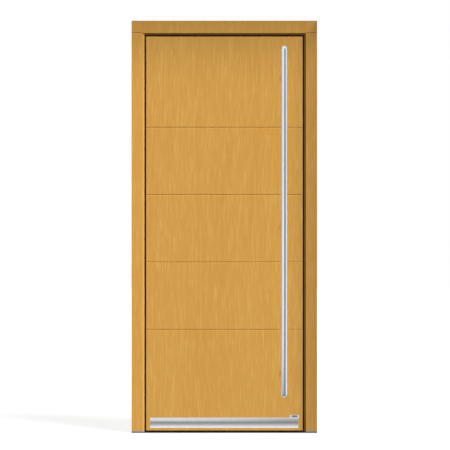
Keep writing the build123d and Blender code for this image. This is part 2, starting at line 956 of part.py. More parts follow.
def auxiliary_case(level):
    case = auxiliary_case_limits(level)
    low, high = level - auxiliary_case_height / 2, level + auxiliary_case_height / 2
    case -= block(
        (faceplate_back - auxiliary_case_depth + case_wall, faceplate_back - case_wall),
        (case_low_y + case_wall, case_high_y - case_wall),
        (low + case_wall, high - case_wall),
    )
    case -= bolt_opening(level, auxiliary_bolt_height, slide_clearance / 2)
    return case - drive_rod_passage(low, high)


def slotted_plate(level):
    """The wide part of the drive beside one bolt."""
    return block(
        (rack_line + gear_module, drive_edge),
        (drive_low_y, drive_high_y),
        (level - bolt_throw - 2 * drive_margin, level + 2 * drive_margin),
    )


def cam_slot(level):
    """A 45 degree slot that throws the bolt out as the drive rises."""
    start = (drive_pin_x, level)
    end = (drive_pin_x + bolt_throw, level - bolt_throw)
    width = drive_pin_diameter + slide_clearance
    middle = ((start[0] + end[0]) / 2, (start[1] + end[1]) / 2)
    length = math.dist(start, end)
    slot = Pos(*middle) * Rot(0, 0, -45) * SlotCenterToCenter(length, width)
    return prism_along_y(slot, drive_low_y, drive_high_y)


def rack():
    """Straight-flanked teeth on the drive's inner edge, one of them level with the pinion."""
    pitch = math.pi * gear_module
    low = thumbturn_height_z - bolt_throw - rack_margin
    high = thumbturn_height_z + rack_margin
    slope = math.tan(pressure_angle)
    half_pitch_line = pitch / 4 - gear_backlash / 2
    tip = rack_line - gear_module
    root = rack_line + tooth_root_depth
    half_tip = half_pitch_line - gear_module * slope
    half_root = half_pitch_line + tooth_root_depth * slope
    first = math.ceil((low - thumbturn_height_z) / pitch)
    last = math.floor((high - thumbturn_height_z) / pitch)
    tooth = outline([(root, -half_root), (tip, -half_tip), (tip, half_tip), (root, half_root)])
    depth = (drive_low_y, drive_high_y)
    rack = block((root, drive_edge), depth, (low - drive_margin, deadbolt_level))
    for i in range(first, last + 1):
        rack += prism_along_y(Pos(0, thumbturn_height_z + pitch * i) * tooth, *depth)
    return rack


def drive_rail():
    """One flat stamping: rod, three slotted plates and the rack."""
    low_bolt, high_bolt = auxiliary_bolt_levels
    margin = bolt_throw + drive_pin_diameter
    rail = block(
        (drive_edge - drive_rod_width, drive_edge),
        (drive_low_y, drive_high_y),
        (low_bolt - margin, high_bolt + drive_end_margin),
    )
    levels = [low_bolt, deadbolt_level, high_bolt]
    for level in levels:
        rail += slotted_plate(level)
    rail += rack()
    return without(rail, [cam_slot(level) for level in levels])


def flat_bolt(level, height, length):
    """A flat bolt, flush with the faceplate, with the pin that rides in the cam slot."""
    bolt = block(
        (leaf_middle_half - length, leaf_middle_half),
        (bolt_low_y, bolt_high_y),
        about(level, height),
    )
    bolt = chamfer(bolt.faces().sort_by(Axis.X)[-1].edges(), bolt_chamfer)
    pin = Pos(drive_pin_x, level) * Circle(drive_pin_diameter / 2)
    return bolt + prism_along_y(pin, drive_low_y, bolt_low_y)


def involute_point(base_radius, radius, phase):
    """A point of the involute at that radius, turned by the phase."""
    roll = math.sqrt((radius / base_radius) ** 2 - 1)
    angle = roll - math.atan(roll) + phase
    return (radius * math.cos(angle), radius * math.sin(angle))


def thumbturn_shaft_end():
    return back + rose_height + slide_clearance + thumbturn_shaft_grip


def pinion():
    """Involute pinion on the thumbturn's shaft, with a tooth space facing the rack."""
    base_radius = pitch_radius * math.cos(pressure_angle)
    tip_radius = pitch_radius + gear_module
    root_radius = pitch_radius - tooth_root_depth
    roll = math.tan(pressure_angle) - pressure_angle
    half_tooth = (math.pi * gear_module / 2 - gear_backlash) / 2 / pitch_radius
    phase = -half_tooth - roll
    flank = [
        involute_point(base_radius, radius, phase)
        for radius in (base_radius, (base_radius + tip_radius) / 2, tip_radius)
    ]
    other = [(x, -y) for x, y in reversed(flank)]
    inner = root_radius - cut_overrun
    foot = (inner * math.cos(phase), inner * math.sin(phase))
    other_foot = (foot[0], -foot[1])
    tooth = make_face(
        [
            Line(foot, flank[0]),
            ThreePointArc(*flank),
            Line(flank[2], other[0]),
            ThreePointArc(*other),
            Line(other[2], other_foot),
            Line(other_foot, foot),
        ]
    )
    wheel = Circle(root_radius)
    for i in range(pinion_teeth):
        wheel += Rot(0, 0, 360.0 * (i + 0.5) / pinion_teeth) * tooth
    centre = Pos(lock_axis_x, thumbturn_height_z)
    gear = prism_along_y(centre * wheel, drive_low_y, drive_low_y + pinion_thickness)
    shaft = centre * Circle(thumbturn_shaft_diameter / 2)
    return gear + prism_along_y(shaft, case_low_y, thumbturn_shaft_end())


def thumbturn():
    """Oblong knob, upright while the lock is open."""
    low = back + rose_height + slide_clearance
    bottom = thumbturn_height_z - thumbturn_length / 2
    knob = Pos(lock_axis_x, thumbturn_height_z) * Rot(0, 0, 90)
    knob = prism_along_y(
        knob * SlotOverall(thumbturn_length, thumbturn_width), low, low + thumbturn_height
    )
    knob = fillet(knob.faces().sort_by(Axis.Y)[-1].edges(), thumbturn_round)
    shaft = Pos(lock_axis_x, thumbturn_height_z) * Circle(thumbturn_shaft_diameter / 2)
    return knob - prism_along_y(shaft, low, thumbturn_shaft_end())


def rose(level, bore):
    """Round cover plate on the room side."""
    disc = Pos(lock_axis_x, level) * Circle(rose_diameter / 2)
    disc = prism_along_y(disc, back, back + rose_height)
    disc = fillet(disc.faces().sort_by(Axis.Y)[-1].edges(), rose_round)
    return disc - prism_along_y(Pos(lock_axis_x, level) * Circle(bore), back, back + rose_height)


# Latch, follower and lever
def latch_tail_z():
    top_of_arm = lever_height + follower_arm_radius + follower_arm_tip
    return (top_of_arm + latch_tail_gap, top_of_arm + latch_tail_gap + latch_tail_height)


def catch_face():
    """Where the follower's arm meets the latch's catch at rest."""
    arm_x = lock_axis_x + follower_arm_radius * math.sin(lever_travel / 2)
    return arm_x - follower_arm_tip - slide_clearance / 2


def latch_bolt():
    """Bevelled latch with a tail that hangs a catch before the follower's arm."""
    tip = leaf_middle_half + latch_throw
    heel = tip - latch_head_length
    bevel_y = bolt_low_y + latch_bevel_depth
    head = outline(
        [
            (heel, bolt_low_y),
            (leaf_middle_half, bolt_low_y),
            (tip, bevel_y),
            (tip, bolt_high_y),
            (heel, bolt_high_y),
        ]
    )
    latch = prism_along_z(head, *about(latch_level, latch_height))
    tail_y = (bolt_low_y, bolt_low_y + latch_tail_thickness)
    back_of_catch = catch_face() - latch_catch_width
    low, high = latch_tail_z()
    latch += block((back_of_catch, heel + cut_overrun), tail_y, (low, high))
    catch_low = lever_height + follower_arm_radius
    return latch + block((back_of_catch, catch_face()), tail_y, (catch_low, high))


def spring_start():
    return leaf_middle_half + latch_throw - latch_head_length - spring_reach


def spring_level():
    return latch_level + latch_height / 2 - spring_abutment_height / 2


def latch_spring():
    """V-shaped strip spring between the case and the heel of the latch."""
    start = spring_start()
    end = start + spring_reach
    level = spring_level()
    half = spring_abutment_height / 2 - spring_end_margin
    strip = spring_strip
    fold = 2 * strip
    points = [
        (start, level - half),
        (start + strip, level - half),
        (start + 2 * strip, level + half - fold),
        (end - 2 * strip, level + half - fold),
        (end - strip, level - half),
        (end, level - half),
        (end - strip, level + half),
        (start + strip, level + half),
    ]
    return prism_along_y(outline(points), bolt_high_y - spring_width, bolt_high_y)


def lock_follower():
    """The lock's hub: square bore, two trunnions and the arm that draws the latch."""
    centre = Pos(lock_axis_x, lever_height)
    low, high = case_low_y + case_wall, case_high_y - case_wall
    hub = prism_along_y(
        centre * Circle(follower_hub_radius), low + running_clearance, high - running_clearance
    )
    hub += prism_along_y(centre * Circle(follower_trunnion_radius), case_low_y, case_high_y)
    lean = math.degrees(lever_travel / 2)
    arm = Pos(follower_arm_radius / 2, 0) * Rectangle(follower_arm_radius, 2 * follower_arm_tip)
    arm += Pos(follower_arm_radius, 0) * Circle(follower_arm_tip)
    tail_high = bolt_low_y + latch_tail_thickness
    hub += prism_along_y(centre * Rot(0, 0, 90 - lean) * arm, bolt_low_y, tail_high)
    square = centre * Rectangle(spindle_square + fit_clearance, spindle_square + fit_clearance)
    return hub - prism_along_y(square, case_low_y, case_high_y)


def lever_spindle():
    square = Pos(lock_axis_x, lever_height) * Rectangle(spindle_square, spindle_square)
    return prism_along_y(square, case_low_y, back + rose_height + spindle_in_lever)


def lever_handle():
    """Neck and flat grip in one casting, the grip pointing to the hinge side."""
    centre = Pos(lock_axis_x, lever_height)
    grip_low = back + lever_grip_clear
    grip_high = grip_low + lever_grip_thickness
    neck = prism_along_y(centre * Circle(lever_neck_diameter / 2), back + lever_neck_seat, grip_high)
    grip = block(
        (lock_axis_x + lever_grip_height / 2 - lever_grip_length, lock_axis_x + lever_grip_height / 2),
        (grip_low, grip_high),
        about(lever_height, lever_grip_height),
    )
    grip = fillet(grip.edges().filter_by(Axis.X), lever_grip_round)
    grip = fillet(grip.edges().filter_by(Axis.Y).sort_by(Axis.X)[:2], lever_grip_end_round)
    lever = grip + neck
    side = spindle_square + fit_clearance
    square = centre * Rectangle(side, side)
    return lever - prism_along_y(square, back, back + rose_height + spindle_in_lever)


# Strikes in the lock jamb
def strike_y():
    return about(lock_y, faceplate_width)


def pocket(level, height, depth):
    """Space in the jamb for a thrown bolt."""
    return block(
        (opening_middle, opening_middle + depth),
        (bolt_low_y - bolt_hole_clearance, bolt_high_y + bolt_hole_clearance),
        about(level, height + 2 * bolt_hole_clearance),
    )


def auxiliary_strike_limits(level):
    return about(level, auxiliary_bolt_height + 2 * strike_end_margin)


def strike_screw_seats(low, high):
    levels = (low + strike_screw_margin, high - strike_screw_margin)
    return [(opening_middle, lock_y, level) for level in levels]


def auxiliary_strike(level):
    low, high = auxiliary_strike_limits(level)
    plate = block((opening_middle, opening_middle + strike_thickness), strike_y(), (low, high))
    plate -= pocket(level, auxiliary_bolt_height, strike_thickness)
    seats = strike_screw_seats(low, high)
    return without(plate, screw_holes(seats, (-1, 0, 0), plate_screw_length))


def latch_passage(clearance):
    """Way out of the strike towards the room, open once the keeper is released."""
    return block(
        (opening_middle, opening_middle + strike_thickness),
        (bolt_low_y - bolt_hole_clearance, inner_stop),
        about(latch_level, keeper_height + 2 * clearance),
    )


def main_strike():
    plate = block(
        (opening_middle, opening_middle + strike_thickness),
        (strike_y()[0], inner_stop),
        (main_strike_bottom, main_strike_top),
    )
    plate -= pocket(deadbolt_level, deadbolt_height, strike_thickness)
    plate -= latch_passage(keeper_room)
    seats = main_strike_seats()
    return without(plate, screw_holes(seats, (-1, 0, 0), plate_screw_length))


def main_strike_seats():
    middle = (deadbolt_level + deadbolt_height / 2 + electric_strike_bottom) / 2
    low = main_strike_bottom + strike_screw_margin
    return [(opening_middle, lock_y, level) for level in (low, middle)]


def electric_strike_section():
    """Outline of the strike's body: it steps back with the jamb's inner rebate."""
    low_x = opening_middle + strike_thickness
    high_x = low_x + electric_strike_depth
    low_y = lock_y - electric_strike_outer_reach
    high_y = lock_y + electric_strike_inner_reach
    return outline(
        [
            (low_x, low_y),
            (high_x, low_y),
            (high_x, high_y),
            (opening_inner, high_y),
            (opening_inner, inner_stop),
            (low_x, inner_stop),
        ]
    )


def electric_strike():
    """Strike body with the chamber that the latch and keeper move in."""
    body = prism_along_z(electric_strike_section(), electric_strike_bottom, electric_strike_top)
    hub_room = keeper_hub_radius + keeper_room
    chamber_x = (opening_middle, keeper_x)
    hub_x = (opening_middle, keeper_x + hub_room)
    level = about(latch_level, keeper_height + 2 * keeper_room)
    body -= block(chamber_x, (bolt_low_y - bolt_hole_clearance, keeper_y), level)
    body -= block(hub_x, (keeper_y, keeper_y + keeper_reach() + keeper_room), level)
    body -= prism_along_z(Pos(keeper_x, keeper_y) * Circle(hub_room), *level)
    return body - keeper_pin(fit_clearance)


def keeper_pin(clearance=0.0):
    low, high = about(latch_level, keeper_height + 2 * keeper_room + 2 * keeper_pin_seat)
    circle = Pos(keeper_x, keeper_y) * Circle(keeper_pin_radius + clearance)
    return prism_along_z(circle, low - clearance, high + clearance)


def keeper_reach():
    """The keeper swings past the leaf's gasket, just clear of its nearest corner."""
    corner = (inner_gasket_line + gasket_width / 2, inner_stop + slide_clearance)
    return math.dist((keeper_x, keeper_y), corner) - slide_clearance


def keeper():
    """Swinging keeper, drawn released: turned clear of the latch's way into the room."""
    reach = keeper_reach()
    low_y = bolt_high_y + keeper_latch_gap
    high_y = low_y + keeper_nose_thickness
    web_x = leaf_middle_half + latch_throw + keeper_web_gap
    shut = outline(
        [
            (keeper_x - reach, low_y),
            (keeper_x - reach, high_y),
            (web_x, high_y),
            (keeper_x + keeper_hub_radius, keeper_y),
            (keeper_x - keeper_hub_radius, keeper_y),
            (web_x, low_y),
        ]
    )
    shut &= Pos(keeper_x, keeper_y) * Circle(reach)
    shut += Pos(keeper_x, keeper_y) * Circle(keeper_hub_radius)
    shut -= Pos(keeper_x, keeper_y) * Circle(keeper_pin_radius + running_clearance)
    body = prism_along_z(shut, *about(latch_level, keeper_height))
    return body.rotate(Axis((keeper_x, keeper_y, 0), (0, 0, 1)), -math.degrees(keeper_opening))


def lock_jamb():
    jamb = plain_jamb()
    for level in auxiliary_bolt_levels:
        low, high = auxiliary_strike_limits(level)
        x = (opening_middle, opening_middle + strike_thickness)
        jamb -= block(x, strike_y(), (low, high))
        jamb -= pocket(level, auxiliary_bolt_height, strike_thickness + bolt_throw)
        seats = strike_screw_seats(low, high)
        jamb = without(jamb, screw_holes(seats, (-1, 0, 0), plate_screw_length))
    jamb -= block(
        (opening_middle, opening_middle + strike_thickness),
        (strike_y()[0], inner_stop),
        (main_strike_bottom, main_strike_top),
    )
    jamb -= pocket(deadbolt_level, deadbolt_height, strike_thickness + bolt_throw)
    jamb -= prism_along_z(electric_strike_section(), electric_strike_bottom, electric_strike_top)
    return without(jamb, screw_holes(main_strike_seats(), (-1, 0, 0), plate_screw_length))


def hinge_jamb():
    jamb = mirrored(plain_jamb())
    for level in hinge_levels:
        seats = frame_hinge_seats(level)
        jamb = without(jamb, screw_holes(seats, (0, 1, 0), hinge_screw_length))
    return jamb


# Fasteners, grouped by kind
def frame_screws():
    down = screws(header_screw_seats(), (0, 0, 1), header_screw_length)
    up = screws(foot_screw_seats(), (0, 0, -1), foot_screw_length)
    return down + up + [mirrored(item) for item in down + up]


def strike_screws():
    seats = main_strike_seats()
    for level in auxiliary_bolt_levels:
        seats += strike_screw_seats(*auxiliary_strike_limits(level))
    return screws(seats, (-1, 0, 0), plate_screw_length)


def frame_hinge_screws():
    seats = [seat for level in hinge_levels for seat in frame_hinge_seats(level)]
    return screws(seats, (0, 1, 0), hinge_screw_length)


def leaf_hinge_screws():
    seats = [seat for level in hinge_levels for seat in leaf_hinge_seats(level)]
    return screws(seats, (0, 1, 0), hinge_screw_length)


def faceplate_screws():
    return screws(faceplate_screw_seats(), (1, 0, 0), plate_screw_length)


def sub_parts():
    """Every node's name with its solid, or its group of like solids."""
    low_bolt, high_bolt = auxiliary_bolt_levels
    parts = {
        "frame_header": frame_header(),
        "hinge_jamb": hinge_jamb(),
        "lock_jamb": lock_jamb(),
        "hinge_jamb_foot": mirrored(jamb_foot()),
        "lock_jamb_foot": jamb_foot(),
        "threshold": threshold(),
        "frame_gasket": outer_gasket(),
        "frame_screws": frame_screws(),
        "main_strike_plate": main_strike(),
        "upper_strike_plate": auxiliary_strike(high_bolt),
        "lower_strike_plate": auxiliary_strike(low_bolt),
        "strike_screws": strike_screws(),
        "electric_strike": electric_strike(),
        "keeper_pin": keeper_pin(),
        "strike_keeper": keeper(),
        "frame_hinge_screws": frame_hinge_screws(),
        "hinge_pins": [hinge_pin(level) for level in hinge_levels],
        "outer_panel": outer_panel(),
        "inner_panel": inner_panel(),
        "hinge_stile": hinge_stile(),
        "lock_stile": lock_stile(),
        "top_rail": top_rail(),
        "bottom_rail": bottom_rail(),
        "insulation_core": insulation_core(),
        "leaf_gasket": inner_gasket(),
        "bottom_seal_carrier": seal_carrier(),
        "bottom_seal_lip": seal_lip(),
        "kickplate": kickplate(),
        "pull_bar": pull_bar(),
        "pull_bar_bolts": pull_bar_bolts(),
        "leaf_hinge_screws": leaf_hinge_screws(),
        "lock_faceplate": lock_faceplate(),
        "faceplate_screws": faceplate_screws(),
        "lock_case": lock_case(),
        "lock_case_cover": lock_case_cover(),
        "upper_bolt_case": auxiliary_case(high_bolt),
        "lower_bolt_case": auxiliary_case(low_bolt),
        "lever_rose": rose(lever_height, lever_neck_diameter / 2 + slide_clearance),
        "thumbturn_rose": rose(thumbturn_height_z, thumbturn_shaft_diameter / 2 + running_clearance),
        "lever_handle": lever_handle(),
        "lever_spindle": lever_spindle(),
        "lock_follower": lock_follower(),
        "latch_bolt": latch_bolt(),
        "latch_spring": latch_spring(),
        "thumbturn_knob": thumbturn(),
        "thumbturn_pinion": pinion(),
        "drive_rail": drive_rail(),
        "deadbolt": flat_bolt(deadbolt_level, deadbolt_height, deadbolt_length),
        "upper_bolt": flat_bolt(high_bolt, auxiliary_bolt_height, auxiliary_bolt_length),
        "lower_bolt": flat_bolt(low_bolt, auxiliary_bolt_height, auxiliary_bolt_length),
    }
    for name, level in zip(height_names, hinge_levels):
        parts[f"{name}_frame_hinge"] = frame_hinge(level)
        parts[f"{name}_leaf_hinge"] = leaf_hinge(level)
    for name, level in zip(height_names, post_levels):
        parts[f"{name}_bar_post"] = pull_bar_post(level)
    return parts


os.makedirs("parts", exist_ok=True)
for name, shape in sub_parts().items():
    solids = shape if isinstance(shape, list) else [shape]
    export_step(Compound(children=[s for item in solids for s in item.solids()]), f"parts/{name}.step")
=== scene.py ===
import bmesh
import bpy
import math
from mathutils import Matrix, Vector


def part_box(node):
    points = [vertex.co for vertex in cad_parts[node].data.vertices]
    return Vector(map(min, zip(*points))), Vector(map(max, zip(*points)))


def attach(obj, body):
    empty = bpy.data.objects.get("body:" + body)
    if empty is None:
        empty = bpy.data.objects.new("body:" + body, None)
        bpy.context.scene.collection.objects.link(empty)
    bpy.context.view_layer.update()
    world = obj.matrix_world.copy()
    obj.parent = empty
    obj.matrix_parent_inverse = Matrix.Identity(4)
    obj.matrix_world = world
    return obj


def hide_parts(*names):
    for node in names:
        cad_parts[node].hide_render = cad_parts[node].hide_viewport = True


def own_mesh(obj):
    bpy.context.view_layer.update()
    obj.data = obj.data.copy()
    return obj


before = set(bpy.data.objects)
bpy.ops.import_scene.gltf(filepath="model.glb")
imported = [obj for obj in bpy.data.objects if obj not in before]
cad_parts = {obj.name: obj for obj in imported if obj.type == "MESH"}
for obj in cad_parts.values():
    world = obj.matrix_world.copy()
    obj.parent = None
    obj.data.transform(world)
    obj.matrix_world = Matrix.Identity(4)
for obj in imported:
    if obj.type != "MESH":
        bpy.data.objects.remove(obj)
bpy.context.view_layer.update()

# Camera. It looks at the outside of the door square on, from far away through a long lens, so that
# the jambs stay parallel and their sides don't show. The picture is 2.4 m high at the door's face.
face_y = -0.044
picture_height = 2.4013
picture_centre = (0.0037, 1.1098)
lens_length = 200.0
sensor_width = 36.0
camera_distance = picture_height * lens_length / sensor_width
camera = bpy.data.objects.new("camera", bpy.data.cameras.new("camera"))
camera.data.lens = lens_length
camera.data.sensor_width = sensor_width
camera.data.clip_end = 100.0
camera.location = (picture_centre[0], face_y - camera_distance, picture_centre[1])
camera.rotation_euler = (math.radians(90.0), 0.0, 0.0)
bpy.context.scene.collection.objects.link(camera)
bpy.context.scene.camera = camera
bpy.context.scene.view_settings.view_transform = "Standard"


# Room light. A white studio: an even sky for soft light, one broad lamp high on the lock side for
# the front and a weaker one behind for the room side. Camera and polished metal see plain white.
def put(tree, kind, inputs=None, **settings):
    """Add one shader node. Each input is a plain value, or the socket that feeds it."""
    node = tree.nodes.new("ShaderNode" + kind)
    for name, value in settings.items():
        setattr(node, name, value)
    for name, value in (inputs or {}).items():
        if isinstance(value, bpy.types.NodeSocket):
            tree.links.new(value, node.inputs[name])
        else:
            node.inputs[name].default_value = value
    return node


def maths(tree, operation, *values, clamp=False):
    """The result of one Math node."""
    node = put(tree, "Math", dict(enumerate(values)), operation=operation, use_clamp=clamp)
    return node.outputs[0]


def paint(red, green, blue):
    """The linear colour for display values from 0 to 255."""
    shares = [value / 255.0 for value in (red, green, blue)]
    return tuple(s / 12.92 if s < 0.04045 else ((s + 0.055) / 1.055) ** 2.4 for s in shares) + (1.0,)


def seen_ray(tree):
    """1 for what camera, gloss and glass see, 0 for the light that reaches a matt surface."""
    path = put(tree, "LightPath").outputs
    seen = maths(tree, "MAXIMUM", path["Is Camera Ray"], path["Is Glossy Ray"])
    seen = maths(tree, "MAXIMUM", seen, path["Is Transmission Ray"])
    after_matt = maths(tree, "GREATER_THAN", path["Diffuse Depth"], 0.5)
    return maths(tree, "SUBTRACT", seen, after_matt, clamp=True)


sky_level = 0.13
white = (1.0, 1.0, 1.0, 1.0)
world = bpy.data.worlds.new("studio")
bpy.context.scene.world = world
world.use_nodes = True
world.node_tree.nodes.clear()
sky = put(world.node_tree, "Background", {"Color": white, "Strength": sky_level})
backdrop = put(world.node_tree, "Background", {"Color": white, "Strength": 1.0})
mixed_sky = put(world.node_tree, "MixShader", {
    0: seen_ray(world.node_tree),
    1: sky.outputs[0],
    2: backdrop.outputs[0],
})
put(world.node_tree, "OutputWorld", {"Surface": mixed_sky.outputs[0]})
lamp_distance = 6.0


def soft_lamp(name, azimuth, elevation, strength, spread):
    """A broad distant lamp; azimuth 0 is straight in front of the door, 90 to its lock side."""
    turn, tilt = math.radians(azimuth), math.radians(elevation)
    source = Vector((
        math.sin(turn) * math.cos(tilt),
        -math.cos(turn) * math.cos(tilt),
        math.sin(tilt),
    ))
    lamp = bpy.data.objects.new(name, bpy.data.lights.new(name, "SUN"))
    lamp.data.energy = strength
    lamp.data.angle = math.radians(spread)
    lamp.location = source * lamp_distance
    lamp.rotation_mode = "QUATERNION"
    lamp.rotation_quaternion = source.to_track_quat("Z", "Y")
    lamp.visible_glossy = False
    bpy.context.scene.collection.objects.link(lamp)
    return lamp


front_lamp = soft_lamp("front_lamp", azimuth=42.0, elevation=45.0, strength=5.55, spread=22.0)
soft_lamp("room_side_lamp", azimuth=215.0, elevation=38.0, strength=3.0, spread=40.0)


# Floor, shading nets and reflection cards of the studio. The nets shade the header and the lock jamb
# from above and from the side. Only polished metal sees the grey cards, one of which lies on the floor.
def mesh_object(name, shape, *materials):
    """An object made from a finished bmesh, which it uses up."""
    mesh = bpy.data.meshes.new(name)
    shape.to_mesh(mesh)
    shape.free()
    for material in materials:
        mesh.materials.append(material)
    made = bpy.data.objects.new(name, mesh)
    bpy.context.scene.collection.objects.link(made)
    return made


def new_material(name):
    """An empty material and its node tree."""
    material = bpy.data.materials.new(name)
    material.use_nodes = True
    material.node_tree.nodes.clear()
    return material, material.node_tree


def close_material(tree, shader):
    """Join the shader to the material's output."""
    put(tree, "OutputMaterial", {"Surface": shader.outputs[0]})


def studio_piece(piece, *hidden_from):
    """A stage piece that the named kinds of ray don't meet."""
    for ray in hidden_from:
        setattr(piece, "visible_" + ray, False)


def span(tree, value, low, high, to_low=0.0, to_high=1.0):
    """The value spread from low..high to other limits, and held there."""
    node = put(tree, "MapRange", {0: value, 1: low, 2: high, 3: to_low, 4: to_high})
    return node.outputs[0]


def blend_colours(tree, share, first, second):
    """The first colour where the share is 0, the second where it is 1."""
    node = put(tree, "Mix", {0: share, 6: first, 7: second}, data_type="RGBA")
    return node.outputs[2]


floor_radius = 30.0
floor_glow = 0.75
floor_lit = paint(70, 70, 70)
floor_seen = paint(243, 243, 243)
floor_material, tree = new_material("studio floor")
seen = seen_ray(tree)
floor_matt = put(tree, "BsdfDiffuse", {"Color": blend_colours(tree, seen, floor_lit, floor_seen)})
floor_white = put(tree, "Emission", {"Color": white, "Strength": 1.0})
floor_mix = put(tree, "MixShader", {
    0: maths(tree, "MULTIPLY", seen, floor_glow),
    1: floor_matt.outputs[0],
    2: floor_white.outputs[0],
})
close_material(tree, floor_mix)
shape = bmesh.new()
bmesh.ops.create_circle(shape, cap_ends=True, segments=96, radius=floor_radius)
studio_piece(mesh_object("studio_floor", shape, floor_material))


def flat_sheet(name, corners, material, *hidden_from):
    """A stage sheet without thickness between four corners."""
    shape = bmesh.new()
    bmesh.ops.contextual_create(shape, geom=[shape.verts.new(corner) for corner in corners])
    studio_piece(mesh_object(name, shape, material), *hidden_from)


def in_front(tree, reach):
    """How far out a point is from the door's face, 0 at the face and 1 at that reach."""
    place = put(tree, "SeparateXYZ", {0: put(tree, "TexCoord").outputs["Object"]})
    return span(tree, place.outputs["Y"], face_y, face_y - reach)


net_tone = (0.61, 0.63, 0.68, 1.0)
net_left = -0.6
net_right = 0.57
net_top = 2.212
net_side = 0.502


def shading_net(name, reach, start, end):
    """A net that stands out from the door's face between two points, thinner towards its edge."""
    net, tree = new_material(name)
    tone = blend_colours(tree, in_front(tree, reach), net_tone, white)
    close_material(tree, put(tree, "BsdfTransparent", {"Color": tone}))
    outer_edge = face_y - reach
    places = ((start, face_y), (start, outer_edge), (end, outer_edge), (end, face_y))
    corners = [(x, y, z) for (x, z), y in places]
    flat_sheet(name, corners, net, "camera", "glossy", "transmission")


shading_net("top_shading_net", reach=0.24, start=(net_left, net_top), end=(net_right, net_top))
shading_net("side_shading_net", reach=0.18, start=(net_side, 0.0), end=(net_side, net_top))

card_material, tree = new_material("grey reflection card")
card_light = put(tree, "Emission", {"Color": paint(132, 132, 134), "Strength": 1.0})
close_material(tree, card_light)
tall_card = 2.9
far_card = 4.0
low_card = 0.22
near_card = 1.0


def reflection_card(name, azimuths, top, radius):
    """A curved card that stands round the door's middle, between two azimuths."""
    shape = bmesh.new()
    start = math.radians(azimuths[0])
    foot = Vector((radius * math.sin(start), -radius * math.cos(start), 0.0))
    post = [shape.verts.new(foot), shape.verts.new(foot + Vector((0.0, 0.0, top)))]
    edge = shape.edges.new(post)
    bmesh.ops.spin(
        shape,
        geom=[*post, edge],
        axis=(0, 0, 1),
        cent=(0, 0, 0),
        angle=math.radians(azimuths[1] - azimuths[0]),
        steps=24,
        use_merge=False,
    )
    piece = mesh_object(name, shape, card_material)
    studio_piece(piece, "camera", "diffuse", "shadow", "transmission")


reflection_card("tall_front_card", azimuths=(3.0, 58.0), top=tall_card, radius=far_card)
reflection_card("low_front_card", azimuths=(-45.0, 45.0), top=low_card, radius=near_card)
reflection_card("left_side_card", azimuths=(-100.0, -78.0), top=tall_card, radius=far_card)
reflection_card("left_back_card", azimuths=(196.0, 222.0), top=tall_card, radius=far_card)
reflection_card("right_back_card", azimuths=(138.0, 160.0), top=tall_card, radius=far_card)

floor_card_fade = 0.40
floor_card_near = paint(224, 224, 224)
floor_card_far = paint(130, 130, 132)
floor_card_side = 1.5
floor_card_front = -4.0
floor_card_back = face_y - 0.06
floor_card_height = 0.002
floor_card_material, tree = new_material("graded floor card")
faded = in_front(tree, floor_card_fade)
floor_card_tone = blend_colours(tree, faded, floor_card_near, floor_card_far)
close_material(tree, put(tree, "Emission", {"Color": floor_card_tone, "Strength": 1.0}))
floor_card_corners = [
    (-floor_card_side, floor_card_front, floor_card_height),
    (floor_card_side, floor_card_front, floor_card_height),
    (floor_card_side, floor_card_back, floor_card_height),
    (-floor_card_side, floor_card_back, floor_card_height),
]
flat_sheet(
    "floor_card",
    floor_card_corners,
    floor_card_material,
    "camera",
    "diffuse",
    "shadow",
    "transmission",
)


# Frame: header and two jambs of laminated timber, faced with a straight-grained light brown veneer
# that runs upright everywhere, the header too, under a satin lacquer.
def new_group(name, inputs, outputs):
    """An empty shader group with its sockets, and its input and output nodes."""
    group = bpy.data.node_groups.new(name, "ShaderNodeTree")
    for label, kind in inputs.items():
        group.interface.new_socket(name=label, in_out="INPUT", socket_type="NodeSocket" + kind)
    for label, kind in outputs.items():
        group.interface.new_socket(name=label, in_out="OUTPUT", socket_type="NodeSocket" + kind)
    return group, group.nodes.new("NodeGroupInput"), group.nodes.new("NodeGroupOutput")


def stretched_noise(tree, place, stretch, detail, distortion=0.0):
    """Noise drawn out along the grain; stretch is how many spots there are in a metre each way."""
    spot = put(tree, "VectorMath", {0: place, 1: stretch}, operation="MULTIPLY")
    noise = put(tree, "TexNoise", {
        "Vector": spot.outputs[0],
        "Scale": 1.0,
        "Detail": detail,
        "Distortion": distortion,
    })
    return noise.outputs["Fac"]


veneer, given, result = new_group(
    "veneer grain",
    {"Base": "Color", "Streak": "Color", "Pore": "Color", "Shift": "Vector", "Level": "Float"},
    {"Color": "Color", "Roughness": "Float", "Height": "Float"},
)
upright = put(veneer, "TexCoord").outputs["Object"]
parts = put(veneer, "SeparateXYZ", {0: upright}).outputs
level = put(veneer, "CombineXYZ", {"X": parts["Z"], "Y": parts["Y"], "Z": parts["X"]}).outputs[0]
place = put(veneer, "Mix", {0: given.outputs["Level"], 4: upright, 5: level}, data_type="VECTOR")
place = put(veneer, "VectorMath", {0: place.outputs[1], 1: given.outputs["Shift"]}).outputs[0]
broad = stretched_noise(veneer, place, stretch=(9.0, 9.0, 0.9), detail=2.0, distortion=0.3)
figure = stretched_noise(veneer, place, stretch=(50.0, 50.0, 2.2), detail=2.0, distortion=0.2)
streaks = stretched_noise(veneer, place, stretch=(240.0, 240.0, 11.0), detail=1.0)
fibres = stretched_noise(veneer, place, stretch=(420.0, 420.0, 14.0), detail=2.0)
pores = stretched_noise(veneer, place, stretch=(900.0, 900.0, 40.0), detail=1.0)
streak_share = maths(
    veneer,
    "ADD",
    span(veneer, streaks, 0.52, 0.70, to_high=0.60),
    span(veneer, figure, 0.42, 0.66, to_high=0.12),
)
broad_share = span(veneer, broad, 0.35, 0.65, to_high=0.12)
light_share = maths(veneer, "ADD", streak_share, broad_share, clamp=True)
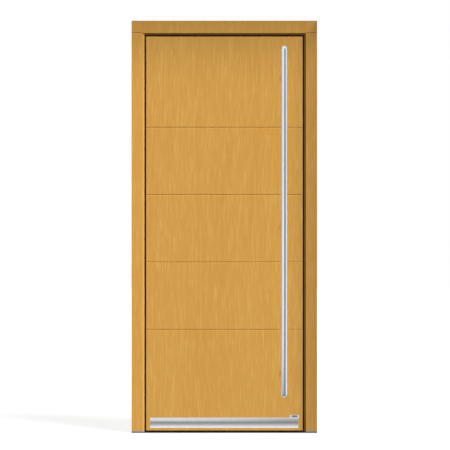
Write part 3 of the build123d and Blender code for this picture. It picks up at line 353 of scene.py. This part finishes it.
pore_share = maths(
    veneer,
    "ADD",
    span(veneer, pores, 0.60, 0.75, to_high=0.30),
    span(veneer, fibres, 0.55, 0.35, to_high=0.22),
    clamp=True,
)
tone = blend_colours(veneer, light_share, given.outputs["Base"], given.outputs["Streak"])
tone = blend_colours(veneer, pore_share, tone, given.outputs["Pore"])
sheen = span(veneer, fibres, 0.3, 0.7, to_low=0.40, to_high=0.52)
veneer.links.new(tone, result.inputs["Color"])
veneer.links.new(sheen, result.inputs["Roughness"])
veneer.links.new(maths(veneer, "SUBTRACT", fibres, pore_share), result.inputs["Height"])


def use_group(tree, group, inputs):
    """Place a shader group, fill its inputs and give its outputs."""
    return put(tree, "Group", inputs, node_tree=group).outputs


def bump(tree, height, strength, distance):
    """The normal of a surface raised by that height."""
    node = put(tree, "Bump", {"Height": height, "Strength": strength, "Distance": distance})
    return node.outputs[0]


# Painted reflection: the colour that glossy rays see on lacquered timber, in place of the wood's own
# colour.
painted_reflection_grey = paint(190, 188, 185)
painted_reflection_share = 0.85


def satin_lacquer(tree, colour, grain):
    """Close a timber's material with a satin coat and a painted reflection: to glossy rays the timber
    is mostly a muted grey, so steel beside it mirrors grey, not wood.
    """
    painted_reflection = put(tree, "LightPath").outputs["Is Glossy Ray"]
    painted_reflection = maths(tree, "MULTIPLY", painted_reflection, painted_reflection_share)
    surface = put(tree, "BsdfPrincipled", {
        "Base Color": blend_colours(tree, painted_reflection, colour, painted_reflection_grey),
        "Roughness": grain["Roughness"],
        "Normal": bump(tree, grain["Height"], strength=0.25, distance=0.0002),
        "Specular IOR Level": 0.2,
    })
    close_material(tree, surface)


def lacquered_wood(name, shift, level_above, **colours):
    """Wood whose grain runs upright, and along the door above that height."""
    material, tree = new_material(name)
    place = put(tree, "SeparateXYZ", {0: put(tree, "TexCoord").outputs["Object"]})
    is_level = maths(tree, "GREATER_THAN", place.outputs["Z"], level_above)
    grain = use_group(tree, veneer, {**colours, "Shift": shift, "Level": is_level})
    satin_lacquer(tree, grain["Color"], grain)
    return material


def dress(material, *names):
    """Give CAD nodes their finish."""
    for name in names:
        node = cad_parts[name]
        for slot in node.material_slots:
            slot.material = material


skin = 0.0004
frame_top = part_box("frame_header")[1][2]
frame_veneer = lacquered_wood(
    "frame veneer",
    shift=(3.1, 0.7, 0.4),
    level_above=frame_top - skin,
    Base=paint(206, 152, 71),
    Streak=paint(221, 172, 96),
    Pore=paint(185, 128, 53),
)
dress(frame_veneer, "frame_header", "hinge_jamb", "lock_jamb")


# Leaf: outer panel with four cut grooves, inner panel, and the hardwood core between them, whose dark
# tone is partly painted shade for the gaps round the leaf. The panels are faced and lacquered with the
# same veneer as the frame; their narrow edges, which face those gaps, are painted dark brown as shade.
def past_limits(tree, half_width, bottom, top):
    """1 on the narrow edges of an upright board with those limits, 0 on its faces."""
    place = put(tree, "SeparateXYZ", {0: put(tree, "TexCoord").outputs["Object"]}).outputs
    side = maths(tree, "ABSOLUTE", place["X"])
    on_side = maths(tree, "GREATER_THAN", side, half_width - skin)
    on_top = maths(tree, "GREATER_THAN", place["Z"], top - skin)
    on_foot = maths(tree, "LESS_THAN", place["Z"], bottom + skin)
    return maths(tree, "MAXIMUM", on_side, maths(tree, "MAXIMUM", on_top, on_foot))


# Painted shade: the dark brown on the panels' narrow edges darkens the gaps between leaf and frame.
painted_gap_shade = paint(86, 60, 36)
for name in ("outer_panel", "inner_panel"):
    low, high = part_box(name)
    panel_veneer_with_gap_shade, tree = new_material(name.replace("_", " ") + " veneer")
    grain = use_group(tree, veneer, {
        "Base": paint(203, 151, 71),
        "Streak": paint(219, 172, 95),
        "Pore": paint(184, 129, 55),
    })
    # Mask of the narrow edges that carry the painted gap shade.
    gap_shade_mask = past_limits(tree, high[0], low[2], high[2])
    satin_lacquer(tree, blend_colours(tree, gap_shade_mask, grain["Color"], painted_gap_shade), grain)
    dress(panel_veneer_with_gap_shade, name)
# The core's dark hardwood tone is its own colour and also painted shade: it darkens what shows deep in
# the gaps round the leaf.
core_shift = (1.7, 0.3, 0.9)
core_and_gap_shade_colours = {
    "Base": paint(148, 104, 62),
    "Streak": paint(164, 120, 76),
    "Pore": paint(122, 80, 46),
}
stile_timber = lacquered_wood("stile timber", core_shift, level_above=frame_top, **core_and_gap_shade_colours)
rail_timber = lacquered_wood("rail timber", core_shift, level_above=0.0, **core_and_gap_shade_colours)
dress(stile_timber, "hinge_stile", "lock_stile")
dress(rail_timber, "top_rail", "bottom_rail")


# Filling: rigid foam slab glued into the core. It is cut from a block, so its cells show.
speckle_spread = 0.06


def speckled(name, light, dark, spots, roughness, depth):
    """A matt moulded or cut surface with a fine speckle, so many spots in a metre."""
    material, tree = new_material(name)
    place = put(tree, "TexCoord").outputs["Object"]
    fine = stretched_noise(tree, place, stretch=(spots, spots, spots), detail=3.0)
    smoothest = roughness - speckle_spread
    roughest = roughness + speckle_spread
    surface = put(tree, "BsdfPrincipled", {
        "Base Color": blend_colours(tree, span(tree, fine, 0.35, 0.65), light, dark),
        "Roughness": span(tree, fine, 0.3, 0.7, to_low=smoothest, to_high=roughest),
        "Normal": bump(tree, fine, strength=0.4, distance=depth),
    })
    close_material(tree, surface)
    return material


foam = speckled(
    "rigid foam",
    light=paint(226, 222, 208),
    dark=paint(206, 200, 182),
    spots=500.0,
    roughness=0.85,
    depth=0.0006,
)
dress(foam, "insulation_core")


# Seals: black extruded rubber, pressed into grooves of the frame, the leaf and the leaf's foot.
rubber = speckled(
    "seal rubber",
    light=paint(30, 28, 26),
    dark=paint(42, 39, 36),
    spots=700.0,
    roughness=0.62,
    depth=0.0002,
)
dress(rubber, "frame_gasket", "leaf_gasket", "bottom_seal_lip")


# Foot: flat anodised threshold under the whole frame, a grey plastic block under each jamb, and the
# anodised channel that carries the seal under the leaf.
brushing, given, result = new_group(
    "brushing",
    {"Strokes": "Vector"},
    {"Tone": "Float", "Height": "Float"},
)
place = put(brushing, "TexCoord").outputs["Object"]
fine_lines = given.outputs["Strokes"]
coarser = (0.3, 0.3, 0.3)
coarse_lines = put(brushing, "VectorMath", {0: fine_lines, 1: coarser}, operation="MULTIPLY")
fine_strokes = stretched_noise(brushing, place, stretch=fine_lines, detail=3.0)
coarse_strokes = stretched_noise(brushing, place, stretch=coarse_lines.outputs[0], detail=2.0)
all_strokes = maths(brushing, "ADD", coarse_strokes, fine_strokes)
mean_stroke = maths(brushing, "MULTIPLY", all_strokes, 0.5)
brushing.links.new(span(brushing, mean_stroke, 0.35, 0.65), result.inputs["Tone"])
brushing.links.new(mean_stroke, result.inputs["Height"])
stroke_depth = 0.00004


def brushed_metal(name, light, dark, lines, roughness, roughness_spread=0.08):
    """Metal rubbed in one direction; lines is how many strokes there are in a metre each way."""
    material, tree = new_material(name)
    strokes = use_group(tree, brushing, {"Strokes": lines})
    roughest = roughness + roughness_spread
    surface = put(tree, "BsdfPrincipled", {
        "Base Color": blend_colours(tree, strokes["Tone"], light, dark),
        "Roughness": span(tree, strokes["Tone"], 0.0, 1.0, to_low=roughness, to_high=roughest),
        "Normal": bump(tree, strokes["Height"], strength=0.5, distance=stroke_depth),
        "Metallic": 1.0,
    })
    close_material(tree, surface)
    return material


anodised = brushed_metal(
    "anodised threshold",
    light=paint(128, 126, 122),
    dark=paint(114, 112, 108),
    lines=(3.0, 700.0, 700.0),
    roughness=0.42,
)
dress(anodised, "threshold", "bottom_seal_carrier")
foot_grey = speckled(
    "foot plastic",
    light=paint(152, 148, 141),
    dark=paint(138, 134, 128),
    spots=400.0,
    roughness=0.55,
    depth=0.0002,
)
dress(foot_grey, "hinge_jamb_foot", "lock_jamb_foot")


# Pull bar: 35 mm stainless tube with domed ends, ground lengthwise, on three welded posts that are
# bolted through the leaf, with the bolts' caps on the room side. The front lamp casts no shadow of
# the bar, of its posts or of the kickplate.
ground_light = paint(234, 235, 236)
ground_dark = paint(222, 223, 225)
ground_roughness = 0.25
upright_steel = brushed_metal(
    "steel ground upright",
    light=ground_light,
    dark=ground_dark,
    lines=(1300.0, 1300.0, 2.5),
    roughness=ground_roughness,
)
dress(upright_steel, "pull_bar")
turned_steel = brushed_metal(
    "steel turned",
    light=paint(226, 229, 234),
    dark=paint(212, 216, 222),
    lines=(4.0, 1300.0, 4.0),
    roughness=0.42,
)
posts = ("bottom_bar_post", "middle_bar_post", "top_bar_post")
dress(turned_steel, *posts, "pull_bar_bolts")
shadowless = bpy.data.collections.new("cast no shadow of the front lamp")
for name in ("pull_bar", *posts, "kickplate"):
    shadowless.objects.link(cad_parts[name])
for item in shadowless.collection_objects:
    item.light_linking.link_state = "EXCLUDE"
front_lamp.light_linking.blocker_collection = shadowless


# Kickplate: crowned stainless sheet, ground lengthwise, glued over the foot of the leaf.
level_steel = brushed_metal(
    "steel ground level",
    light=ground_light,
    dark=ground_dark,
    lines=(2.5, 1300.0, 1300.0),
    roughness=ground_roughness,
)
dress(level_steel, "kickplate")


# Tag: small moulded plate, silver lacquered, over the kickplate's lock-side end, with a plain dark
# enamelled recess. It is glued to the leaf's face.
tag_centre = (0.3745, 0.0890)
tag_size = (0.047, 0.014)
tag_thickness = 0.0014
tag_rim = 0.003
tag_ends = 0.75
tag_recess = 0.0005
tag_round = 0.0018
tag_edge = 0.0002
silver = speckled(
    "silver lacquer",
    light=paint(226, 228, 231),
    dark=paint(216, 218, 222),
    spots=900.0,
    roughness=0.38,
    depth=0.00003,
)
enamel = speckled(
    "grey enamel",
    light=paint(122, 122, 134),
    dark=paint(112, 112, 124),
    spots=300.0,
    roughness=0.35,
    depth=0.00005,
)
shape = bmesh.new()
bmesh.ops.create_cube(shape, size=1.0)
bmesh.ops.scale(shape, vec=(tag_size[0], tag_thickness, tag_size[1]), verts=shape.verts)
field = min(shape.faces, key=lambda face: face.calc_center_median().y)
bmesh.ops.inset_individual(shape, faces=[field], thickness=tag_rim)
bmesh.ops.scale(shape, vec=(tag_ends, 1.0, 1.0), verts=field.verts)
field = bmesh.ops.extrude_discrete_faces(shape, faces=[field])["faces"][0]
bmesh.ops.translate(shape, vec=(0.0, tag_recess, 0.0), verts=field.verts)
field.material_index = 1
corners = [e for e in shape.edges if abs(e.verts[0].co.y - e.verts[1].co.y) > tag_thickness / 2]
bmesh.ops.bevel(
    shape, geom=corners, offset=tag_round, segments=4, profile=0.5, affect="EDGES", material=-1
)
tag_place = (tag_centre[0], face_y - tag_thickness / 2, tag_centre[1])
bmesh.ops.translate(shape, vec=tag_place, verts=shape.verts)
bmesh.ops.recalc_face_normals(shape, faces=shape.faces)
tag = mesh_object("blank_tag", shape, silver, enamel)
softening = tag.modifiers.new("softened edges", "BEVEL")
softening.width = tag_edge
softening.segments = 2
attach(tag, "leaf")


# Hinges: three barrel hinges of stainless steel, a plate with two knuckles on the frame, one with a
# middle knuckle on the leaf, and a loose pin dropped through them.
dress(
    upright_steel,
    "bottom_frame_hinge",
    "middle_frame_hinge",
    "top_frame_hinge",
    "bottom_leaf_hinge",
    "middle_leaf_hinge",
    "top_leaf_hinge",
    "hinge_pins",
)


# Screws: countersunk, with a six-lobed recess, of plain steel. Each set replaces the smooth screws
# of the model, in the same seats.
screw_head_radius = 0.0044
screw_shank_radius = 0.0022
recess_radius = 0.0026
recess_depth = 0.0024
recess_narrowing = 0.9
lobe_waist = 0.72
point_length = 2 * screw_shank_radius
point_bluntness = 0.05


def extruded_ring(shape, edges, drop, size):
    """Carry a ring of edges down by drop and scale it about its own axis; the new ring comes back."""
    grown = bmesh.ops.extrude_edge_only(shape, edges=edges)["geom"]
    verts = [g for g in grown if isinstance(g, bmesh.types.BMVert)]
    rings = [g for g in grown if isinstance(g, bmesh.types.BMEdge) and all(v in verts for v in g.verts)]
    bmesh.ops.translate(shape, vec=(0, 0, -drop), verts=verts)
    bmesh.ops.scale(shape, vec=(size, size, 1.0), verts=verts)
    return rings, verts


def add_screw(shape, seat, facing, length):
    """One countersunk screw with its head at the seat, turned to face that way."""
    head = bmesh.ops.create_circle(shape, segments=12, radius=screw_head_radius)["verts"]
    lobes = bmesh.ops.create_circle(shape, segments=12, radius=recess_radius)["verts"]
    bmesh.ops.scale(shape, vec=(lobe_waist, lobe_waist, 1.0), verts=lobes[::2])
    head_ring = [e for e in shape.edges if e.verts[0] in head]
    lobe_ring = [e for e in shape.edges if e.verts[0] in lobes]
    bmesh.ops.bridge_loops(shape, edges=head_ring + lobe_ring)
    floor_ring, floor_verts = extruded_ring(shape, lobe_ring, recess_depth, recess_narrowing)
    bmesh.ops.contextual_create(shape, geom=floor_ring)
    cone = screw_head_radius - screw_shank_radius
    neck, neck_verts = extruded_ring(shape, head_ring, cone, screw_shank_radius / screw_head_radius)
    tail, tail_verts = extruded_ring(shape, neck, length - point_length - cone, 1.0)
    point, point_verts = extruded_ring(shape, tail, point_length, point_bluntness)
    bmesh.ops.contextual_create(shape, geom=point)
    turn = Vector(facing).to_track_quat("Z", "Y").to_matrix().to_4x4()
    verts = head + lobes + floor_verts + neck_verts + tail_verts + point_verts
    bmesh.ops.transform(shape, matrix=Matrix.Translation(seat) @ turn, verts=verts)


def screw_set(name, body, replaced, groups):
    """One piece with several screws; groups hold a facing, a length and the seats."""
    shape = bmesh.new()
    for facing, length, seats in groups:
        for seat in seats:
            add_screw(shape, seat, facing, length)
    bmesh.ops.recalc_face_normals(shape, faces=shape.faces)
    piece = mesh_object(name, shape, screw_metal)
    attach(piece, body)
    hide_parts(replaced)


screw_metal = brushed_metal(
    "screw steel",
    light=paint(196, 196, 198),
    dark=paint(168, 168, 172),
    lines=(600.0, 600.0, 600.0),
    roughness=0.30,
    roughness_spread=0.12,
)
room_side = (0, 1, 0)
lock_side = (1, 0, 0)
hinge_side = (-1, 0, 0)
upwards = (0, 0, 1)
downwards = (0, 0, -1)
hinge_levels = (0.240, 1.080, 1.920)
hinge_face = 0.048
hinge_row = 0.008
outer_reach = 0.046
inner_reach = 0.030
frame_plate_x = -0.4765
leaf_plate_x = -0.4210
hinge_screw = 0.040


def hinge_seats(centre):
    """Two staggered rows on one plate of each hinge."""
    return [
        (centre + side * hinge_row, hinge_face, level + end * reach)
        for level in hinge_levels
        for end in (-1, 1)
        for side, reach in ((-1, outer_reach), (1, inner_reach))
    ]


screw_set("frame_hinge_screw_set", "frame", "frame_hinge_screws", [
    (room_side, hinge_screw, hinge_seats(frame_plate_x)),
])
screw_set("leaf_hinge_screw_set", "leaf", "leaf_hinge_screws", [
    (room_side, hinge_screw, hinge_seats(leaf_plate_x)),
])
lock_screw = 0.030
lock_middle = 0.001
faceplate_x = 0.435
faceplate_levels = (0.2926, 0.3674, 0.8712, 1.1388, 1.6626, 1.7374)
screw_set("faceplate_screw_set", "leaf", "faceplate_screws", [
    (lock_side, lock_screw, [(faceplate_x, lock_middle, level) for level in faceplate_levels]),
])
strike_x = 0.440
strike_levels = (0.288, 0.372, 0.885, 1.030, 1.658, 1.742)
screw_set("strike_screw_set", "frame", "strike_screws", [
    (hinge_side, lock_screw, [(strike_x, lock_middle, level) for level in strike_levels]),
])
jamb_middle = 0.4745
corner_rows = (-0.022, 0.014)
header_screw = 0.150
threshold_screw = 0.060
corner_seats = [(side * jamb_middle, row) for side in (-1, 1) for row in corner_rows]
screw_set("frame_screw_set", "frame", "frame_screws", [
    (upwards, header_screw, [(x, y, frame_top) for x, y in corner_seats]),
    (downwards, threshold_screw, [(x, y, 0.0) for x, y in corner_seats]),
])


# Lock: faceplate, cases, bolts, drive and strikes of zinc-plated steel, rubbed before plating.
lock_metal = brushed_metal(
    "plated lock steel",
    light=paint(196, 197, 196),
    dark=paint(176, 177, 176),
    lines=(300.0, 300.0, 40.0),
    roughness=0.30,
)
dress(
    lock_metal,
    "lock_faceplate",
    "lock_case",
    "lock_case_cover",
    "upper_bolt_case",
    "lower_bolt_case",
    "lock_follower",
    "latch_bolt",
    "drive_rail",
    "deadbolt",
    "upper_bolt",
    "lower_bolt",
    "thumbturn_pinion",
    "lever_spindle",
    "main_strike_plate",
    "upper_strike_plate",
    "lower_strike_plate",
    "electric_strike",
    "strike_keeper",
    "keeper_pin",
)


# Latch spring: V-shaped steel strip behind the latch, against the case, that the drawn-in latch presses
# together. Here it is a rigid copy of the model's spring that rides with the leaf.
low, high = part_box("latch_spring")
shape = bmesh.new()
shape.from_mesh(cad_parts["latch_spring"].data)
bmesh.ops.remove_doubles(shape, verts=shape.verts, dist=0.00001)
spring = mesh_object("pressed_latch_spring", shape, lock_metal)
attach(spring, "leaf")
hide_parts("latch_spring")
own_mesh(spring)


# Furniture on the room side: lever, thumbturn and their roses, satin stainless castings.
satin_steel = brushed_metal(
    "satin furniture steel",
    light=paint(226, 227, 229),
    dark=paint(214, 215, 218),
    lines=(900.0, 60.0, 60.0),
    roughness=0.26,
)
dress(satin_steel, "lever_handle", "lever_rose", "thumbturn_knob", "thumbturn_rose")
